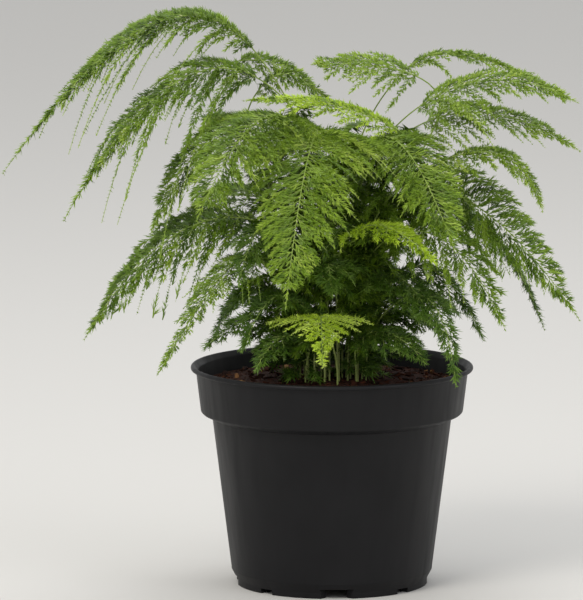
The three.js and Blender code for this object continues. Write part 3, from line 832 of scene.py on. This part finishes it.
twigHabit = {
    "firstAt": (0.3, 1), "gaps": (0.75, 1.25), "tailGap": 1.5,  # as shares of the gap
    "sizes": (0.75, 1.2), "widths": (0.7, 1.15), "tailSizes": (0.5, 1.3),
    "angleLost": 0.35,  # share of its angle that is gone at the finger's tip
    "angleSpread": 8, "rise": (0.03, 0.2), "roll": 0.35,
    "tipPaler": 0.22, "toneSpread": 0.06, "tones": (0.02, 0.9),
}


# Twigs along a finger, on its two sides in turn, shorter towards its tip
def growTwigs(bm, draw, finger):
    line = Route(finger["places"])
    above, length, tail = finger["above"], finger["length"], finger["tail"]
    gap, angle = finger["twigGap"], finger["twigAngle"]
    lengths = habits[finger["kind"]]["twigLengths"]
    along = gap * draw.uniform(*twigHabit["firstAt"])
    hand = draw.choice((-1, 1))
    while along < line.total:
        share = along / length
        onTail = share > 1 - tail
        if onTail:
            wanted = blendOf(*twigHabit["tailSizes"], (1 - share) / tail)
        else:
            wanted = finger["most"] * (1 - share / (1 - tail * 0.5)) ** 0.5
            wanted *= draw.uniform(*twigHabit["sizes"])
        place, heading = line.read(along)
        nearest = min(range(len(lengths)), key=lambda k: abs(lengths[k] - wanted))
        size = wanted / lengths[nearest]
        narrowest, widest = twigHabit["widths"]
        wide = min(widest, max(narrowest, size))
        turn = angle * (1 - twigHabit["angleLost"] * share) + draw.gauss(0, twigHabit["angleSpread"])
        turn = math.radians(turn) * hand
        aside = above.cross(heading).normalized()
        towards = heading * math.cos(turn) + aside * math.sin(turn) + above * draw.gauss(*twigHabit["rise"])
        lean = above + aside * draw.gauss(0, twigHabit["roll"])
        tone = finger["tone"] + twigHabit["tipPaler"] * share + draw.gauss(0, twigHabit["toneSpread"])
        darkest, palest = twigHabit["tones"]
        place = facing(towards, lean, place, (size, wide, wide))
        stamp(bm, draw.choice(twigs[finger["kind"]][nearest]), place, min(palest, max(darkest, tone)))
        hand = -hand
        along += gap * draw.uniform(*twigHabit["gaps"]) * (twigHabit["tailGap"] if onTail else 1)


# The way that a spray's upper side faces, at a distance along its route
def aboveAt(route, spray, start):
    return route.read(start)[1].cross(spray["side"]).normalized()


# The fingers of one flat spray, in turn on its two sides, longest a little past its fork
def fingersOf(draw, route, spray):
    rib = route.total - spray["forkAt"]
    habit = habits[spray["kind"]]
    count = max(3, round((habit["lastAt"] - habit["firstAt"]) * rib / habit["fingerGap"]))
    jitter = habit["jitter"]
    usual = {"kind": spray["kind"], "twigGap": habit["twigGap"], "twigAngle": habit["twigAngle"]}
    fingers = []
    for i in range(2 * count):
        hand = 1 if i % 2 else -1
        share = min(max((i / 2 + draw.uniform(-jitter, jitter)) / count, 0), habit["furthest"])
        reach = min(1, habit["firstReach"] + habit["swell"] * share) * (1 - share) ** habit["taper"]
        isLeader = draw.random() < habit["leaders"]
        reach *= draw.uniform(*habit["leaderReach" if isLeader else "reach"])
        length = max(habit["least"], spray["span"] * reach)
        start = spray["forkAt"] + rib * blendOf(habit["firstAt"], habit["lastAt"], share)
        angle = math.radians(blendOf(*habit["angles"], share) + draw.gauss(0, habit["angleSpread"]))
        sag = habit["sag"] * draw.uniform(*habit["sagSpread"])
        places = fingerPlaces(route, spray, start, angle, hand, length, sag)
        if len(places) < 3 or draw.random() < habit["missing"]:
            continue
        shortest, growth = habit["twigsGrow"]
        fingers.append({
            **usual,
            "places": places,
            "above": aboveAt(route, spray, start),
            "length": length,
            "most": min(habit["twigMost"], shortest + length * growth),
            "tail": blendOf(*habit["tail"], draw.random() * (1 if isLeader else habit["plainTail"])),
            "tone": spray["tone"] + draw.gauss(0, habit["toneSpread"]),
            "radii": habit["fingerRadii"],
        })
    # The rib itself: twigs that cover it, then its end as one more finger
    last = spray["forkAt"] + rib * (habit["lastAt"] - habit["ribEnd"])
    ribGap, ribAngle, ribMost = habit["ribTwigs"]
    endMost, endShare = habit["ribEndMost"]
    tail = {"most": min(endMost, spray["span"] * endShare), "tail": habit["ribEndTail"]}
    tail["tone"] = spray["tone"] + habit["ribEndPaler"]
    cover = {"most": ribMost, "tail": 0, "tone": spray["tone"], "twigGap": ribGap, "twigAngle": ribAngle}
    for start, end, finger in ((last, route.total, tail), (spray["forkAt"], last, cover)):
        steps = max(habit["ribSteps"], round((end - start) / habit["ribStep"]))
        places = [route.read(blendOf(start, end, i / steps))[0] for i in range(steps + 1)]
        above = aboveAt(route, spray, start)
        fingers.append({**usual, **finger, "places": places, "above": above, "length": end - start})
    return fingers


# A short arch that leaves the cane at start and heads out at turn
def shootRoute(draw, route, start, turn, length):
    place = route.read(start)[0]
    out = Vector((math.cos(turn), math.sin(turn), 0))
    rise = math.radians(draw.uniform(*shootHabit["rise"]))
    pull = place + (out * math.cos(rise) + up * math.sin(rise)) * length * shootHabit["pull"]
    fall = up * length * shootHabit["droop"] * draw.uniform(*shootHabit["droopSpread"])
    tip = place + out * length - fall
    line = archOf(place, pull, tip, shootHabit["points"])
    clear = [p for p in line if p.z > groundAt(p) + shootHabit["clear"]]
    if len(clear) > shootHabit["leastPoints"] and not any(inClearing(p) for p in clear):
        return Route(clear)
    return None


# The frond's own flat spray and the small ones along its cane, as pairs of route and spray
def spraysOf(draw, number, frond, route, forkAt):
    fork, tip = Vector(frond["fork"]), Vector(frond["tip"])
    side = Vector((fork.y - tip.y, tip.x - fork.x, 0)).normalized()
    side.z = side.y * math.tan(math.radians(frond.get("tilt", lace["tilt"])))
    kind = habitOf.get(number, "bushy" if fork.z < bushyUnder else "lace")
    # The spray's tone carries the painted light or shade of its frond
    tone = lace["tone"] + paintedLightAndShade.get(number, 0)
    main = {
        "side": side.normalized(),
        "span": frond["span"],
        "forkAt": forkAt,
        "tone": tone,
        "droop": frond.get("droop", lace["droop"]),
        "kind": kind,
        "keepsClear": number != youngInFront,
    }
    sprays = [(route, main)]
    habit = next(h for h in shoots if fork.z > h["forkOver"])
    along = forkAt * habit["from"]
    heading = math.atan2(tip.y - fork.y, tip.x - fork.x)
    hand = draw.choice((-1, 1))
    while along < forkAt * habit["to"]:
        turn = heading + hand * math.radians(draw.uniform(*shootHabit["swing"]))
        length = draw.uniform(*habit["length"])
        length *= 1 + shootHabit["shorterInFront"] * min(0, math.sin(turn))
        arch = shootRoute(draw, route, along, turn, length)
        if arch:
            side = Vector((-math.sin(turn), math.cos(turn), draw.gauss(0, shootHabit["tilt"])))
            small = {
                "side": side.normalized(),
                "span": length * shootHabit["span"],
                "forkAt": arch.total * shootHabit["forkAt"],
                "tone": shootShadeTone[frond.get("tone", "mature")],
                "droop": shootHabit["sprayDroop"],
                "kind": "thicket",
                "keepsClear": True,
            }
            sprays.append((arch, small))
        hand = -hand
        along += habit["gap"] * draw.uniform(*shootHabit["gapSpread"])
    return sprays


# The tube of a cane or rib, from its root to its tip; sizes holds its radius at each distance along
def addRib(bm, route, sizes, sides, above, tones, step):
    steps = max(4, round(route.total / step))
    stations = [route.total * i / steps for i in range(steps + 1)]
    marks, radii = zip(*sizes)
    places = [route.read(s)[0] for s in stations]
    tube(bm, places, list(np.interp(stations, marks, radii)), sides, above, tones)


# Small pale scale leaves stand along the cane and rib, pointing on and out
def addScales(bm, draw, route):
    first, last = cane["scalesAt"]
    along = route.total * first + draw.uniform(*cane["scaleGap"])
    length, radius = cane["scaleSize"]
    while along < route.total * last:
        place, heading = route.read(along)
        out = heading.orthogonal().normalized()
        out.rotate(Matrix.Rotation(draw.uniform(0, 2 * math.pi), 3, heading))
        size = draw.uniform(*cane["scaleSizes"])
        towards = heading + out * cane["scaleLean"]
        stamp(bm, scaleLeaf, facing(towards, out, place, (length * size, radius, radius)))
        along += draw.uniform(*cane["scaleGap"])


def makeFrond(number, frond, materials):
    nodeName = f"frond_{number:02d}"
    draw = random.Random(frondSeed + number)
    x, y = footOf(nodeName)
    route, forkAt = frondRoute(frond, Vector((x, y, cane["standing"])))
    bm = bmesh.new()
    bm.loops.layers.uv.new("OFBake")
    sprays = spraysOf(draw, number, frond, route, forkAt)
    level = sprays[0][1]["side"].copy()
    level.z = 0
    sizes = [(0, cane["footRadius"]), (forkAt, cane["forkRadius"]), (route.total, cane["tipRadius"])]
    addRib(bm, route, sizes, cane["sides"], level.normalized(), stemTones["cane"], cane["step"])
    addScales(bm, draw, route)
    for arch, spray in sprays[1:]:
        ends = list(zip((0, arch.total), shootHabit["radii"]))
        tones = stemTones["shoot"]
        addRib(bm, arch, ends, shootHabit["sides"], spray["side"], tones, shootHabit["step"])
    fingers = [finger for arch, spray in sprays for finger in fingersOf(draw, arch, spray)]
    for finger in fingers:
        if "radii" in finger:
            count = len(finger["places"])
            shares = [(i / (count - 1)) ** lace["thinning"] for i in range(count)]
            thin = [blendOf(*finger["radii"], share) for share in shares]
            tube(bm, finger["places"], thin, 3, finger["above"], stemTones["finger"])
    for finger in fingers:
        growTwigs(bm, draw, finger)
    tone = frond.get("tone", "mature")
    triangles = sum(len(face.verts) - 2 for face in bm.faces)
    finishPiece(bm, f"fernFrond{number:02d}", materials[tone], nodeName)
    return triangles


leafLook = {
    "roughness": 0.5,
    "specular": 0.35,
    "mottle": (90, 3),
    "mottleDepth": 0.3,
    "rootToTip": (0.72, 1.18),  # how light a needle is at its ends
    "scalesEnd": (0.065, 0.075),  # where scales give way to stems on the map, and stems to needles
    "stemsEnd": (0.235, 0.245),
}
scaleColour = "#d3d3a4"
stemStops = [(0, "#a3b068"), (0.25, "#8c9c50"), (0.6, "#839a45"), (1, "#9fb45f")]
# The shade colours are a darker ramp painted as shade, for the fronds that lie low, deep inside and at the
# back
needleStops = {
    "mature": [(0, "#324d07"), (0.35, "#5b7b13"), (0.7, "#88a62c"), (1, "#b3c858")],
    "shade": [(0, "#263f0a"), (0.4, "#496a19"), (0.75, "#6f8f33"), (1, "#99b264")],
    # Its dark first stop is painted shade, for the young fronds' shoots inside the plant
    "young": [(0, "#2c4709"), (0.22, "#688910"), (0.42, "#97b61a"), (0.75, "#bad738"), (1, "#d0e470")],
}


def foliage(name, needles):
    material, tree, shader = newMaterial(name, leafLook["roughness"], leafLook["specular"])
    place = addNode(tree, "UVMap", uv_map="OFBake").outputs["UV"]
    parts = addNode(tree, "SeparateXYZ", {0: place}).outputs
    mottle = addNoise(tree, place, *leafLook["mottle"])
    depth = leafLook["mottleDepth"]
    moved = multiplyAdd(tree, mottle, depth, parts["X"])
    shade = addNode(tree, "Math", {0: moved, 1: depth / 2}, operation="SUBTRACT").outputs[0]
    along = mapRange(tree, parts["Y"], *needleBand, *leafLook["rootToTip"])
    green = lit(tree, addRamp(tree, shade, needles), along)
    wood = addRamp(tree, parts["X"], stemStops)
    isStem = mapRange(tree, parts["Y"], *leafLook["scalesEnd"])
    stem = mixColours(tree, isStem, hexColour(scaleColour), wood)
    isNeedle = mapRange(tree, parts["Y"], *leafLook["stemsEnd"])
    tree.links.new(mixColours(tree, isNeedle, stem, green), shader.inputs["Base Color"])
    return material


foliages = {tone: foliage(tone + "Needles", stops) for tone, stops in needleStops.items()}
counts = [makeFrond(number, frond, foliages) for number, frond in enumerate(fronds, 1)]
print("fronds made:", sum(counts), "triangles, at most", max(counts), "in one")


# Floor, light and camera

studio = {
    "floor": "#d0cfcc", "floorHalf": 12, "world": 0.72,
    "cameraAway": 4, "elevation": 8.2, "sensor": 36, "clipEnd": 100,
    "pixel": 0.603,  # millimetres
    "frame": (583, 600),
    "potPixel": (332, 583),  # where the middle of the pot's foot falls in the frame
}
# Name, place, target, size, power and colour
lights = [
    ("keyLight", (-1.1, -1.6, 2.0), (0, 0, 0.25), 1.2, 34, "#fffaf2"),
    ("fillLight", (1.6, -1.4, 1.1), (0, 0, 0.2), 1.4, 8, "#fbfbff"),
    ("topLight", (0.2, 0.7, 2.2), (0, 0, 0.25), 1.0, 14, "#ffffff"),
]


def makeFloor():
    bm = bmesh.new()
    bmesh.ops.create_grid(bm, x_segments=1, y_segments=1, size=studio["floorHalf"] / mm)
    material, _, shader = newMaterial("paleFloor", 0.75, 0.3)
    shader.inputs["Base Color"].default_value = hexColour(studio["floor"])
    finishPiece(bm, "floor", material, None)


def addLight(name, place, target, size, power, colour):
    light = bpy.data.lights.new(name, "AREA")
    light.shape = "DISK"
    light.size = size
    light.energy = power
    light.color = hexColour(colour)[:3]
    holder = bpy.data.objects.new(name, light)
    holder.location = place
    holder.rotation_euler = (Vector(target) - Vector(place)).to_track_quat("-Z", "Y").to_euler()
    bpy.context.scene.collection.objects.link(holder)


def makeCamera():
    wide, high = studio["frame"]
    scale = studio["pixel"] * mm
    tilt = math.radians(studio["elevation"])
    potX, potY = studio["potPixel"]
    target = Vector(((wide / 2 - potX) * scale, 0, (potY - high / 2) * scale / math.cos(tilt)))
    camera = bpy.data.cameras.new("camera")
    camera.sensor_width = studio["sensor"]
    camera.lens = camera.sensor_width * studio["cameraAway"] / (high * scale)
    camera.clip_end = studio["clipEnd"]
    holder = bpy.data.objects.new("camera", camera)
    back = Vector((0, -math.cos(tilt), math.sin(tilt)))
    holder.location = target + back * studio["cameraAway"]
    holder.rotation_euler = (-back).to_track_quat("-Z", "Y").to_euler()
    bpy.context.scene.collection.objects.link(holder)
    bpy.context.scene.camera = holder


makeFloor()
for light in lights:
    addLight(*light)
world = bpy.data.worlds.new("studio")
world.use_nodes = True
world.node_tree.nodes["Background"].inputs["Color"].default_value = (studio["world"],) * 3 + (1,)
bpy.context.scene.world = world
bpy.context.scene.view_settings.view_transform = "Standard"
makeCamera()
print("studio made")
